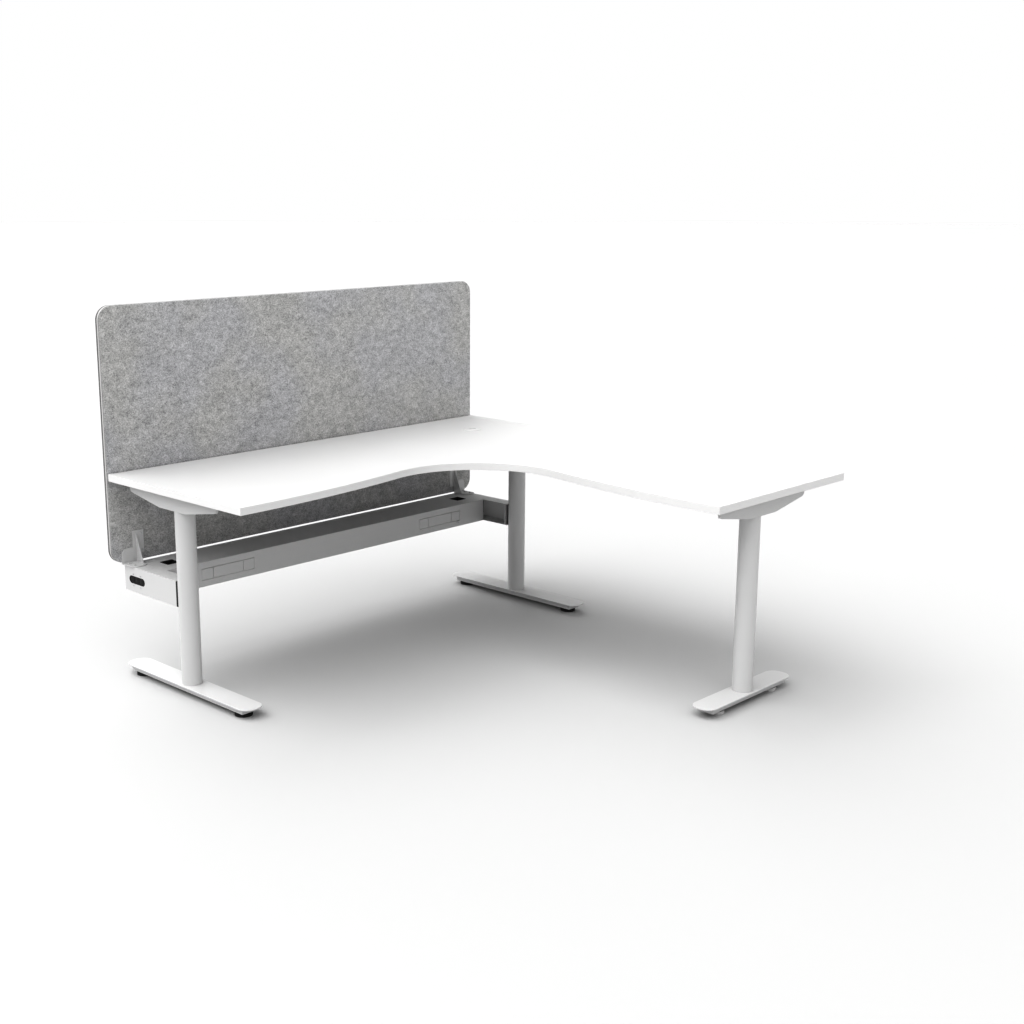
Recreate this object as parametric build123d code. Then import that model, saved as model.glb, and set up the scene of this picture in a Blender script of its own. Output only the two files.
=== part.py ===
from build123d import *
from math import sqrt
import os

# Corner workstation: an L-shaped worktop on three legs with T-feet, a cable beam slung between
# the two back legs, and a felt screen that stands on the beam behind the worktop.
# Millimetres, +Z up. The origin is the middle of the footprint, on the floor. X runs along the
# screen from the left leg to the corner leg, and the wing runs from the corner towards -Y.

# Worktop
top_length = 1800.0  # along the screen
wing_length = 1800.0  # from the back edge to the end of the wing
end_depth = 750.0  # of the panel at both ends
top_height = 730.0  # of the upper face above the floor
top_thickness = 25.0
band_thickness = 2.0
cockpit_radius = 324.0
cockpit_depth = 671.0  # of the panel where the cockpit comes nearest to the back edge

# Cable grommet
grommet_inset = 260.0  # of its centre from both outer edges of the corner
grommet_radius = 30.0  # of the sleeve
grommet_wall = 3.0
grommet_sleeve = 20.0  # below the panel's upper face
flange_radius = 36.5
flange_height = 2.0
flange_round = 1.2
cap_radius = 29.0
cap_thickness = 2.4
cap_skirt_wall = 1.6
cap_skirt_depth = 9.0
cap_slot_length = 31.0
cap_slot_width = 10.0
cap_slot_offset = 9.0  # of the slot's middle from the cap's centre, towards the corner

# Legs
leg_inset = 75.0  # of a leg's centre line from the end of the panel
column_setback = 340.0  # of the two back columns from the back edge
wing_column_inset = 460.0  # of the wing's column from the outer edge
column_radius = 35.0
column_wall = 2.0
column_plate_thickness = 8.0
column_bolt_spacing = 32.0

# Support arms under the worktop
arm_length = 500.0
arm_width = 70.0
arm_nose = 8.0  # the arm's width at either end
arm_height = 60.0
arm_end_height = 30.0
arm_flat = 150.0
arm_offset = 22.0  # of the arm's middle behind the column
arm_wall = 2.5
arm_lip = 18.0
arm_corner_radius = 16.0
arm_screw_spacing = 400.0
arm_inner_screw_spacing = 200.0
access_hole_radius = 7.0

# Feet
long_foot = 710.0
short_foot = 500.0
foot_width = 90.0
foot_plate_thickness = 4.0
foot_end_radius = 40.0
foot_edge_round = 1.5
channel_width = 62.0
channel_height = 19.0
channel_end_inset = 35.0  # of the channel's end from the plate's end
channel_wall = 2.0

# Levelling glides
long_glide_inset = 68.0  # of a glide's centre from the end of a long foot
short_glide_inset = 94.0
glide_pad_radius = 30.0
glide_pad_height = 10.0
glide_pad_round = 1.5
glide_thread_radius = 5.0
glide_spigot_radius = 4.0
glide_spigot_depth = 6.0
glide_collar_height = 4.7
glide_travel = 8.0
glide_engaged = 4.0  # of the thread in the nut when the glide is screwed out
glide_nut_height = 8.0

# Rails under the worktop
rail_width = 60.0
rail_height = 30.0
rail_wall = 2.0
rail_plate_length = 104.0
rail_plate_height = 46.0
rail_plate_thickness = 4.0
rail_bolt_spacing = 80.0

# Cable beam
beam_bottom = 310.0  # above the floor
beam_height = 90.0
beam_depth = 175.0
beam_sheet = 2.5
beam_lip = 14.0
cutout_size = 45.0
cutout_end_inset = 47.0  # of the cut-out from the beam's end
cutout_back_inset = 67.0
slot_rib = 4.0  # between the left cut-out and the small slot beside it
slot_size = 12.0
knockout_height = 43.0
knockout_rise = 23.0  # of its lower edge above the beam's bottom
knockout_end_inset = 144.0
knockout_widths = (50.0, 132.0, 50.0)
knockout_kerf = 1.8
knockout_tab = 4.0
rivet_end_inset = 155.0
rivet_rise = 17.0

# Arms that carry the beam from the columns
beam_arm_width = 58.0
beam_arm_reach = 312.0  # from the back edge to the free ends of its flanges
beam_arm_plate = 4.0
saddle_outer = 30.0  # from the leg's centre line outwards
saddle_inner = 21.0  # from that line towards the middle of the desk
saddle_height = 88.0
saddle_thickness = 3.0  # behind the column
saddle_bolt_spacing = 46.0
nut_bar_width = 20.0
nut_bar_height = 70.0
nut_bar_thickness = 6.0
splice_reach = 48.0  # to either side of the joint between beam and arm
splice_depth = 120.0
splice_thickness = 4.0
splice_bolt_inset = 20.0

# Cable port in the web of a beam arm
port_length = 95.0
port_height = 27.0
port_back_inset = 74.0  # of its centre from the back edge
port_rise = 43.5
port_rim = 1.6
port_plate = 3.0
port_plate_length = 100.0
port_plate_height = 54.0
port_pocket = 2.0
port_slit_length = 56.0
port_slit_height = 1.6
port_screw_length_spacing = 43.0
port_screw_height_spacing = 41.0

# Screen
screen_height = 900.0
screen_bottom = 405.0
screen_gap = 5.0  # between the worktop's back edge and the screen
screen_radius = 50.0
front_felt = 7.0
screen_board = 6.0
back_felt = 11.0

# Screen brackets, measured from the leg's centre line towards the middle of the desk
bracket_sheet = 3.0
bracket_outer = 35.0
bracket_inner = 25.0
bracket_reach = 74.0  # of the base plate from the screen's face
bracket_corner_radius = 20.0
bracket_height = 107.0  # of the gusset above the base plate's underside
bracket_toe = 43.0  # of the gusset along the base plate
wing_plate_outer = 37.0
wing_plate_height = 55.0
wing_plate_radius = 22.0
post_plate_inner = 55.0
post_plate_width = 45.0
post_plate_foot = 31.0  # of the post plate's lower edge above the beam
post_plate_top = 114.0
bracket_screw_inset = 5.0
bracket_screw_margins = (9.0, 13.5)  # from the post plate's lower and upper edge
bracket_bolt_inset = 18.0
bracket_bolt_places = (22.0, 54.0)  # from the screen's face

# Fasteners
bolt_radius = 4.0
small_bolt_radius = 3.0
screw_radius = 2.5
tiny_screw_radius = 1.5
wood_screw_depth = 16.0
screen_screw_depth = 11.0
bolt_tail = 2.0  # of thread past a nut
head_radius_share = 1.6  # of the shank's radius, as is each share below
head_height_share = 1.0
socket_radius_share = 0.9
socket_depth_share = 0.6
nut_radius_share = 1.9
nut_height_share = 1.6

# Clearances
hole_gap = 0.4  # round a shank in a drilled hole
thread_gap = 0.05  # round a shank in a tapped hole
seat_gap = 0.1  # between pieces that sit in one another
free_gap = 0.3  # between pieces that move against each other
overrun = 5.0  # of a cutting tool past the face that it cuts

# Places that follow from the sizes
underside = top_height - top_thickness
left_end = -top_length / 2
right_end = top_length / 2
screen_thickness = front_felt + screen_board + back_felt
back_edge = (wing_length - screen_gap - screen_thickness) / 2
wing_end = back_edge - wing_length
leg_line = left_end + leg_inset
column_y = back_edge - column_setback
wing_column_x = right_end - wing_column_inset
wing_column_y = wing_end + leg_inset
channel_bottom = glide_pad_height + glide_collar_height + free_gap
plate_bottom = channel_bottom + channel_height
column_bottom = plate_bottom + foot_plate_thickness
column_top = underside - arm_height
column_bore = column_radius - column_wall
beam_top = beam_bottom + beam_height
beam_front = back_edge - beam_depth
beam_end = leg_line + beam_arm_width / 2
arm_face = leg_line - beam_arm_width / 2
saddle_back = column_y + column_radius + saddle_thickness
screen_face = back_edge + screen_gap
quarter_turn = 90.0
half_turn = 180.0


def block(x, y, z):
    """A box between the two ends of its span along each axis."""
    corner = (Align.MIN, Align.MIN, Align.MIN)
    return Pos(x[0], y[0], z[0]) * Box(x[1] - x[0], y[1] - y[0], z[1] - z[0], align=corner)


def around(middle, size):
    """The span of a size about its middle."""
    return (middle - size / 2, middle + size / 2)


def past(span):
    """A span with the cutting overrun added at both ends."""
    return (min(span) - overrun, max(span) + overrun)


def upright(x, y, z, radius):
    """A vertical cylinder between two heights."""
    foot = (Align.CENTER, Align.CENTER, Align.MIN)
    return Pos(x, y, z[0]) * Cylinder(radius, z[1] - z[0], align=foot)


def lengthwise(x, y, z, radius):
    """A cylinder along Y between the two ends of y."""
    return Pos(x, (y[0] + y[1]) / 2, z) * Rot(quarter_turn, 0, 0) * Cylinder(radius, y[1] - y[0])


def crosswise(x, y, z, radius):
    """A cylinder along X between the two ends of x."""
    return Pos((x[0] + x[1]) / 2, y, z) * Rot(0, quarter_turn, 0) * Cylinder(radius, x[1] - x[0])


def hexagon_bar(radius, height):
    """A hexagonal bar that stands on the XY plane, by the radius of its corners."""
    return extrude(RegularPolygon(radius, side_count=6), amount=height)


def bolt(radius, length):
    """A socket bolt along Z: the shank hangs below the XY plane and the head stands on it."""
    head = Cylinder(radius * head_radius_share, radius * head_height_share)
    head = Pos(0, 0, radius * head_height_share / 2) * head
    shank = Pos(0, 0, -length / 2) * Cylinder(radius, length)
    depth = radius * socket_depth_share
    socket = Pos(0, 0, radius * head_height_share - depth)
    return head + shank - socket * hexagon_bar(radius * socket_radius_share, depth + overrun)


def nut(radius):
    """A hexagonal nut that stands on the XY plane round a bolt along Z."""
    height = radius * nut_height_share
    bore = Cylinder(radius + thread_gap, height + overrun + overrun)
    return hexagon_bar(radius * nut_radius_share, height) - bore


# Turns of a bolt, by where its shank then points
up = Rot(half_turn, 0, 0)
to_back = Rot(quarter_turn, 0, 0)
to_front = Rot(-quarter_turn, 0, 0)
to_right = Rot(0, -quarter_turn, 0)
to_left = Rot(0, quarter_turn, 0)

nodes = {}


def keep(name, *solids):
    """Adds solids to the node of that name."""
    nodes.setdefault(name, []).extend(solids)


def keep_pair(name, left_name, right_name, solid):
    """Keeps a left-hand solid and its mirror image at the corner leg."""
    keep(name + left_name, solid)
    keep(name + right_name, mirror(solid, about=Plane.YZ))


# Worktop, its edge band and the grommet

def arc_about(centre, radius, start, end):
    """The shorter arc about a centre between two of its points."""
    middle = Vector(start[0] + end[0], start[1] + end[1]) / 2 - Vector(*centre)
    middle = Vector(*centre) + middle.normalized() * abs(radius)
    return ThreePointArc(start, (middle.X, middle.Y), end)


def sweep_radius(run):
    """The radius of the long curve that leaves an end square and meets the cockpit smoothly.
    It is negative where the cockpit is deeper than the ends, since the curve then bends outwards."""
    drop = end_depth - cockpit_depth - cockpit_radius
    return (run ** 2 + drop ** 2 - cockpit_radius ** 2) / (cockpit_radius + drop) / 2


def meeting_point(cockpit, sweep_centre, radius):
    """The point where the cockpit's arc and a long curve touch, on the line of their centres."""
    share = cockpit_radius / (cockpit_radius + radius)
    step = (Vector(*sweep_centre) - Vector(*cockpit)) * share
    return (cockpit[0] + step.X, cockpit[1] + step.Y)


def worktop_outline():
    """The L with its curved user edge, from above."""
    corner = (right_end, back_edge)
    inset = cockpit_depth + cockpit_radius
    cockpit = (right_end - inset, back_edge - inset)
    main_radius = sweep_radius(cockpit[0] - left_end)
    wing_radius = sweep_radius(cockpit[1] - wing_end)
    main_start = (left_end, back_edge - end_depth)
    wing_start = (right_end - end_depth, wing_end)
    main_centre = (left_end, main_start[1] + main_radius)
    wing_centre = (wing_start[0] + wing_radius, wing_end)
    main_meeting = meeting_point(cockpit, main_centre, main_radius)
    wing_meeting = meeting_point(cockpit, wing_centre, wing_radius)
    edges = [
        Polyline(main_start, (left_end, back_edge), corner, (right_end, wing_end), wing_start),
        arc_about(wing_centre, wing_radius, wing_start, wing_meeting),
        arc_about(cockpit, cockpit_radius, wing_meeting, main_meeting),
        arc_about(main_centre, main_radius, main_meeting, main_start),
    ]
    return make_face(edges)


grommet_place = Pos(right_end - grommet_inset, back_edge - grommet_inset, top_height)


def build_worktop(screw_places):
    """The panel, its edge band, the grommet hole and the pilot holes of its screws."""
    outline = worktop_outline()
    inner = offset(outline, -band_thickness, kind=Kind.INTERSECTION)
    panel = Pos(0, 0, underside) * extrude(inner, amount=top_thickness)
    band = Pos(0, 0, underside) * extrude(outline - inner, amount=top_thickness)
    panel -= grommet_place * Cylinder(grommet_radius + seat_gap, top_thickness + top_thickness + overrun)
    for x, y in screw_places:
        depth = (underside - overrun, underside + wood_screw_depth + seat_gap)
        panel -= upright(x, y, depth, screw_radius + thread_gap)
    keep("worktop", panel)
    keep("edge_band", band)


def build_grommet():
    """A flanged ring in the worktop and a cap with a cable slot, which turns in the ring."""
    foot = (Align.CENTER, Align.CENTER, Align.MIN)
    head = (Align.CENTER, Align.CENTER, Align.MAX)
    bore = grommet_radius - grommet_wall
    flange = Cylinder(flange_radius, flange_height, align=foot)
    flange = fillet(flange.edges().group_by(Axis.Z)[-1], flange_round)
    ring = flange + Cylinder(grommet_radius, grommet_sleeve, align=head)
    ring -= Cylinder(bore, grommet_sleeve + grommet_sleeve + overrun)
    ledge = flange_height - cap_thickness - free_gap
    ring -= Pos(0, 0, ledge) * Cylinder(cap_radius + free_gap, cap_thickness + overrun, align=foot)
    cap_bottom = flange_height - cap_thickness
    skirt_radius = bore - free_gap
    cap = Pos(0, 0, cap_bottom) * Cylinder(cap_radius, cap_thickness, align=foot)
    cap += Pos(0, 0, cap_bottom) * Cylinder(skirt_radius, cap_skirt_depth, align=head)
    hollow = Cylinder(skirt_radius - cap_skirt_wall, cap_skirt_depth + overrun, align=head)
    cap -= Pos(0, 0, cap_bottom) * hollow
    slot = SlotOverall(cap_slot_length, cap_slot_width)
    slot = extrude(slot, amount=flange_height + overrun, both=True)
    cap -= Rot(0, 0, -quarter_turn / 2) * Pos(0, cap_slot_offset, 0) * slot
    keep("grommet_ring", grommet_place * ring)
    keep("grommet_cap", grommet_place * cap)


# Legs. Each is built about its column's axis, with the arm and the foot along Y.

def arm_side():
    """The side view of a support arm, about its middle, below the worktop's underside."""
    half = arm_length / 2
    corners = [
        (-half, 0),
        (half, 0),
        (half, -arm_end_height),
        (arm_flat / 2, -arm_height),
        (-arm_flat / 2, -arm_height),
        (-half, -arm_end_height),
    ]
    face = make_face(Polyline(*corners, close=True))
    return fillet(face.vertices().group_by(Axis.Y)[1], arm_corner_radius)


def arm_plan(rail_side):
    """The outline of a support arm from above, about its middle.

    It is straight on its outer side. Towards the rail it draws in from its flat to narrow noses.
    """
    half = arm_length / 2
    outer = -rail_side * arm_width / 2
    nose = outer + rail_side * arm_nose
    corners = [
        (outer, -half),
        (outer, half),
        (nose, half),
        (-outer, arm_flat / 2),
        (-outer, -arm_flat / 2),
        (nose, -half),
    ]
    return make_face(Polyline(*corners, close=True))


def arm_prism(outline):
    """A support arm's outline from above, as a solid that reaches past it above and below."""
    return extrude(Pos(0, arm_offset, underside) * outline, amount=arm_height + overrun, both=True)


def arm_inner_edge(along):
    """How far a support arm reaches towards its rail, at a distance from its middle."""
    drawn_in = max(along - arm_flat / 2, 0) / (arm_length / 2 - arm_flat / 2)
    return arm_width / 2 - drawn_in * (arm_width - arm_nose)


def arm_screw_points(rail_side):
    """The four worktop screws of a support arm: two in its outer lip and two in its inner one."""
    outer = -rail_side * (arm_width - arm_lip) / 2
    inner = rail_side * (arm_inner_edge(arm_inner_screw_spacing / 2) - arm_lip / 2)
    points = [(outer, arm_offset + y) for y in around(0, arm_screw_spacing)]
    return points + [(inner, arm_offset + y) for y in around(0, arm_inner_screw_spacing)]


def column_bolt_points():
    """The four bolts at either end of a column."""
    half = column_bolt_spacing / 2
    return [(x, y) for x in (-half, half) for y in (-half, half)]


def support_arm(rail_side):
    """A pressed arm, open to the worktop between two lips, with its holes."""
    side = Plane.YZ * Pos(arm_offset, underside) * arm_side()
    inside = Plane.YZ * Pos(arm_offset, underside) * offset(arm_side(), -arm_wall)
    plan = arm_plan(rail_side)
    arm = extrude(side, amount=arm_width / 2, both=True) & arm_prism(plan)
    hollow = extrude(inside, amount=arm_width / 2, both=True) & arm_prism(offset(plan, -arm_wall))
    arm -= hollow
    lips = past((underside - arm_wall, underside))
    mouth = block(past(around(0, arm_width)), past(around(arm_offset, arm_length)), lips)
    arm -= mouth & arm_prism(offset(plan, -arm_lip))
    for x, y in arm_screw_points(rail_side):
        arm -= upright(x, y, lips, screw_radius + hole_gap)
        arm -= upright(x, y, (column_top - overrun, lips[0]), access_hole_radius)
    floor = past((column_top, column_top + arm_wall))
    for x, y in column_bolt_points():
        arm -= upright(x, y, floor, bolt_radius + hole_gap)
    wall = past((rail_side * arm_width / 2, rail_side * (arm_width / 2 - arm_wall)))
    for y in around(0, rail_bolt_spacing):
        arm -= crosswise(wall, y, underside - rail_plate_height / 2, bolt_radius + hole_gap)
    return arm


def column(carries_beam):
    """The round tube between foot and arm, drilled at the back where it carries the beam."""
    tube = upright(0, 0, (column_bottom, column_top), column_radius)
    tube -= upright(0, 0, past((column_bottom, column_top)), column_bore)
    if carries_beam:
        for z in saddle_bolt_heights():
            tube -= lengthwise(0, (0, column_radius + overrun), z, bolt_radius + hole_gap)
    return tube


def saddle_bolt_heights():
    """The heights of the two bolts that hold a beam arm to its column."""
    return around(beam_bottom + beam_height / 2, saddle_bolt_spacing)


def column_plate(bottom):
    """A tapped disc inside the end of a column."""
    span = (bottom, bottom + column_plate_thickness)
    disc = upright(0, 0, span, column_bore - seat_gap)
    for x, y in column_bolt_points():
        disc -= upright(x, y, past(span), bolt_radius + thread_gap)
    return disc


def foot_plate(length):
    """The flat top of a foot, with rounded ends and a soft upper edge."""
    outline = RectangleRounded(foot_width, length, foot_end_radius)
    plate = Pos(0, 0, plate_bottom) * extrude(outline, amount=foot_plate_thickness)
    plate = fillet(plate.edges().group_by(Axis.Z)[-1], foot_edge_round)
    for x, y in column_bolt_points():
        plate -= upright(x, y, past((plate_bottom, column_bottom)), bolt_radius + hole_gap)
    return plate


def foot_channel(length, glide_inset):
    """The tray under a foot plate, with access holes for the bolts and holes for the glides."""
    run = length - channel_end_inset * 2
    outer = block(around(0, channel_width), around(0, run), (channel_bottom, plate_bottom))
    width = channel_width - channel_wall * 2
    hollow = (channel_bottom + channel_wall, plate_bottom + overrun)
    tray = outer - block(around(0, width), around(0, run - channel_wall * 2), hollow)
    floor = past((channel_bottom, channel_bottom + channel_wall))
    for x, y in column_bolt_points():
        tray -= upright(x, y, floor, access_hole_radius)
    for y in around(0, length - glide_inset * 2):
        tray -= upright(0, y, floor, glide_thread_radius + hole_gap)
    return tray


def glide_pad(y):
    """The round pad that stands on the floor, with a socket for its stem."""
    pad = upright(0, y, (0, glide_pad_height), glide_pad_radius)
    pad = fillet(pad.edges().group_by(Axis.Z)[-1], glide_pad_round)
    socket = (glide_pad_height - glide_spigot_depth - seat_gap, glide_pad_height + overrun)
    return pad - upright(0, y, socket, glide_spigot_radius + seat_gap)


def glide_stem(y):
    """The threaded stem of a glide, with the collar that stops it under the channel."""
    collar = glide_thread_radius * nut_radius_share
    stem = Pos(0, y, glide_pad_height) * hexagon_bar(collar, glide_collar_height)
    stem += upright(0, y, (glide_pad_height - glide_spigot_depth, glide_pad_height), glide_spigot_radius)
    thread_top = channel_bottom + channel_wall + glide_engaged + glide_travel
    stem += upright(0, y, (glide_pad_height, thread_top), glide_thread_radius)
    return stem


def glide_nut(y):
    """The nut that is welded to the channel's floor."""
    body = hexagon_bar(glide_thread_radius * nut_radius_share, glide_nut_height)
    body = Pos(0, y, channel_bottom + channel_wall) * body
    return body - upright(0, y, (channel_bottom, plate_bottom), glide_thread_radius + thread_gap)


def build_leg(name, place, length, glide_inset, rail_side, carries_beam):
    """One leg with its arm, foot, glides and fasteners."""
    keep("support_arm_" + name, place * support_arm(rail_side))
    keep("column_" + name, place * column(carries_beam))
    keep("foot_plate_" + name, place * foot_plate(length))
    keep("foot_channel_" + name, place * foot_channel(length, glide_inset))
    top_plate = column_top - column_plate_thickness
    for bottom in (column_bottom, top_plate):
        keep("column_end_plates", place * column_plate(bottom))
    for x, y in column_bolt_points():
        top_bolt = bolt(bolt_radius, arm_wall + column_plate_thickness)
        keep("column_bolts", place * Pos(x, y, column_top + arm_wall) * top_bolt)
        foot_bolt = bolt(bolt_radius, foot_plate_thickness + column_plate_thickness)
        keep("column_bolts", place * Pos(x, y, plate_bottom) * up * foot_bolt)
    for x, y in arm_screw_points(rail_side):
        screw = bolt(screw_radius, arm_wall + wood_screw_depth)
        keep("worktop_screws", place * Pos(x, y, underside - arm_wall) * up * screw)
    back, front = around(0, length - glide_inset * 2)[::-1]
    for end, y in (("back", back), ("front", front)):
        keep("glide_pad_" + name + "_" + end, place * glide_pad(y))
        keep("glide_stem_" + name + "_" + end, place * glide_stem(y))
        keep("glide_nuts", place * glide_nut(y))
    for y in around(0, rail_bolt_spacing):
        z = underside - rail_plate_height / 2
        turn = to_left if rail_side > 0 else to_right
        head = rail_side * (arm_width / 2 + rail_plate_thickness)
        grip = rail_plate_thickness + arm_wall
        length_needed = grip + bolt_radius * nut_height_share + bolt_tail
        keep("rail_bolts", place * Pos(head, y, z) * turn * bolt(bolt_radius, length_needed))
        seat = rail_side * (arm_width / 2 - arm_wall)
        keep("rail_nuts", place * Pos(seat, y, z) * turn * up * nut(bolt_radius))


# Rails under the worktop

def rail_tube(x, y, end_axis):
    """A rectangular tube against the worktop, along X or Y as end_axis says, open at its ends."""
    z = (underside - rail_height, underside)
    inner = (z[0] + rail_wall, z[1] - rail_wall)
    if end_axis == Axis.X:
        hollow = block(past(x), (y[0] + rail_wall, y[1] - rail_wall), inner)
    else:
        hollow = block((x[0] + rail_wall, x[1] - rail_wall), past(y), inner)
    return block(x, y, z) - hollow


def build_rails():
    """The main rail between the two back arms, and the wing rail from it to the wing's arm."""
    z = (underside - rail_plate_height, underside)
    middle = underside - rail_plate_height / 2
    face = -leg_line - arm_width / 2
    main_end = face - rail_plate_thickness
    main = rail_tube((-main_end, main_end), around(column_y, rail_width), Axis.X)
    for side in (-1, 1):
        span = sorted((side * main_end, side * face))
        plate = block(span, around(column_y, rail_plate_length), z)
        for y in around(column_y, rail_bolt_spacing):
            plate -= crosswise(past(span), y, middle, bolt_radius + hole_gap)
        keep("rail_end_plates", plate)
    wing_face = wing_column_y + arm_width / 2
    joint = column_y - rail_width / 2
    ends = (wing_face + rail_plate_thickness, joint - rail_plate_thickness)
    keep("wing_rail", rail_tube(around(wing_column_x, rail_width), ends, Axis.Y))
    wide = around(wing_column_x, rail_plate_length)
    wing_plate = block(wide, (wing_face, ends[0]), z)
    joint_plate = block(wide, (ends[1], joint), (underside - rail_height, underside))
    joint_z = underside - rail_height / 2
    for x in around(wing_column_x, rail_bolt_spacing):
        wing_plate -= lengthwise(x, past((wing_face, ends[0])), middle, bolt_radius + hole_gap)
        joint_plate -= lengthwise(x, past((ends[1], joint)), joint_z, bolt_radius + hole_gap)
        main -= lengthwise(x, past((joint, joint + rail_wall)), joint_z, bolt_radius + hole_gap)
        grip = rail_plate_thickness + rail_wall
        length = grip + bolt_radius * nut_height_share + bolt_tail
        keep("rail_bolts", Pos(x, ends[1], joint_z) * to_back * bolt(bolt_radius, length))
        keep("rail_nuts", Pos(x, joint + rail_wall, joint_z) * to_front * nut(bolt_radius))
    keep("rail_end_plates", wing_plate, joint_plate)
    keep("main_rail", main)


# Cable beam and what closes and joins it

def knockout_spans():
    """The span of each knock-out panel of the left group along X, with the cut lines off."""
    start = beam_end + knockout_end_inset
    spans = []
    for width in knockout_widths:
        spans.append((start + knockout_kerf / 2, start + width - knockout_kerf / 2))
        start += width
    return spans


def knockout_group():
    """The panels of the left group, each with a tab above and below that holds it in the sheet."""
    bottom = beam_bottom + knockout_rise
    sheet = (beam_front, beam_front + beam_sheet)
    panels = []
    for span in knockout_spans():
        panel = block(span, sheet, (bottom + knockout_kerf, bottom + knockout_height - knockout_kerf))
        tab = around((span[0] + span[1]) / 2, knockout_tab)
        panels.append(panel + block(tab, sheet, (bottom, bottom + knockout_height)))
    return panels


def splice_bolt_points():
    """The four bolts of the left splice, from above."""
    inset = splice_reach - splice_bolt_inset
    middle = (beam_front + back_edge) / 2
    along = around(middle, splice_depth - splice_bolt_inset * 2)
    return [(beam_end + x, y) for x in (-inset, inset) for y in along]


def build_beam():
    """The folded beam with its cut-outs, the knock-outs, a rivet and the splices at its ends."""
    span = (beam_end, -beam_end)
    beam = block(span, (beam_front, back_edge), (beam_bottom, beam_top))
    hollow = (beam_bottom + beam_sheet, beam_top - beam_sheet)
    beam -= block(past(span), (beam_front + beam_sheet, back_edge - beam_sheet), hollow)
    slot = (beam_bottom + beam_lip, beam_top - beam_lip)
    beam -= block(past(span), past((back_edge - beam_sheet, back_edge)), slot)
    top_sheet = past((beam_top - beam_sheet, beam_top))
    first = beam_end + cutout_end_inset
    depth = (back_edge - cutout_back_inset - cutout_size, back_edge - cutout_back_inset)
    cutout = block((first, first + cutout_size), depth, top_sheet)
    beam -= cutout + mirror(cutout, about=Plane.YZ)
    beside = first + cutout_size + slot_rib
    beam -= block((beside, beside + slot_size), (depth[0], depth[0] + slot_size), top_sheet)
    spans = knockout_spans()
    window = (spans[0][0] - knockout_kerf / 2, spans[-1][1] + knockout_kerf / 2)
    bottom = beam_bottom + knockout_rise
    front_sheet = past((beam_front, beam_front + beam_sheet))
    opening = block(window, front_sheet, (bottom, bottom + knockout_height))
    beam -= opening + mirror(opening, about=Plane.YZ)
    for panel in knockout_group():
        keep("knockouts_left", panel)
        keep("knockouts_right", mirror(panel, about=Plane.YZ))
    rivet_place = (-beam_end - rivet_end_inset, beam_bottom + rivet_rise)
    beam -= lengthwise(rivet_place[0], front_sheet, rivet_place[1], small_bolt_radius + thread_gap)
    rivet = Pos(rivet_place[0], beam_front, rivet_place[1]) * to_back
    keep("beam_rivet", rivet * bolt(small_bolt_radius, beam_sheet + bolt_tail))
    floor = past((beam_bottom, beam_bottom + beam_sheet))
    for x, y in splice_bolt_points():
        hole = upright(x, y, floor, small_bolt_radius + hole_gap)
        beam -= hole + mirror(hole, about=Plane.YZ)
    keep("cable_beam", beam)
    build_splices()


def build_splices():
    """The plates inside the beam's floor that join it to its arms, with their bolts from below."""
    z = (beam_bottom + beam_sheet, beam_bottom + beam_sheet + splice_thickness)
    middle = (beam_front + back_edge) / 2
    plate = block(around(beam_end, splice_reach * 2), around(middle, splice_depth), z)
    for x, y in splice_bolt_points():
        plate -= upright(x, y, past(z), small_bolt_radius + thread_gap)
        screw = Pos(x, y, beam_bottom) * up * bolt(small_bolt_radius, beam_sheet + splice_thickness)
        keep("splice_bolts", screw, mirror(screw, about=Plane.YZ))
    keep("beam_splices", plate, mirror(plate, about=Plane.YZ))


# Beam arms, saddles and cable ports, built on the left

def port_screw_points():
    """The four screws of a cable port, by their places along Y and Z."""
    across = around(back_edge - port_back_inset, port_screw_length_spacing)
    rise = around(beam_bottom + port_rise, port_screw_height_spacing)
    return [(y, z) for y in across for z in rise]


def bracket_bolt_points():
    """The two bolts of the left screen bracket in its beam arm, from above."""
    return [(leg_line - bracket_bolt_inset, screen_face - reach) for reach in bracket_bolt_places]


def port_shape(length, height, x):
    """A slot-shaped bar across the web at the cable port."""
    place = Pos(back_edge - port_back_inset, beam_bottom + port_rise)
    face = Plane.YZ * place * SlotOverall(length, height)
    return Pos(x[0], 0, 0) * extrude(face, amount=x[1] - x[0])


def beam_arm():
    """A channel open towards the middle of the desk, closed at the back, plated at the column."""
    reach = back_edge - beam_arm_reach
    arm = block((arm_face, beam_end), (reach, back_edge), (beam_bottom, beam_top))
    hollow = (beam_bottom + beam_sheet, beam_top - beam_sheet)
    inside = (arm_face + beam_sheet, beam_end + overrun)
    arm -= block(inside, (saddle_back + beam_arm_plate, back_edge - beam_sheet), hollow)
    arm -= block(inside, (reach - overrun, saddle_back), hollow)
    notch_radius = column_radius + saddle_thickness
    arm -= upright(leg_line, column_y, past((beam_bottom, beam_top)), notch_radius)
    web = past((arm_face, arm_face + beam_sheet))
    arm -= port_shape(port_length, port_height, web)
    for y, z in port_screw_points():
        arm -= crosswise(web, y, z, tiny_screw_radius + hole_gap)
    end_plate = past((saddle_back, saddle_back + beam_arm_plate))
    for z in saddle_bolt_heights():
        arm -= lengthwise(leg_line, end_plate, z, bolt_radius + hole_gap)
    for x, y in splice_bolt_points():
        arm -= upright(x, y, past((beam_bottom, hollow[0])), small_bolt_radius + hole_gap)
    for x, y in bracket_bolt_points():
        arm -= upright(x, y, past((hollow[1], beam_top)), small_bolt_radius + hole_gap)
    return arm


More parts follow.
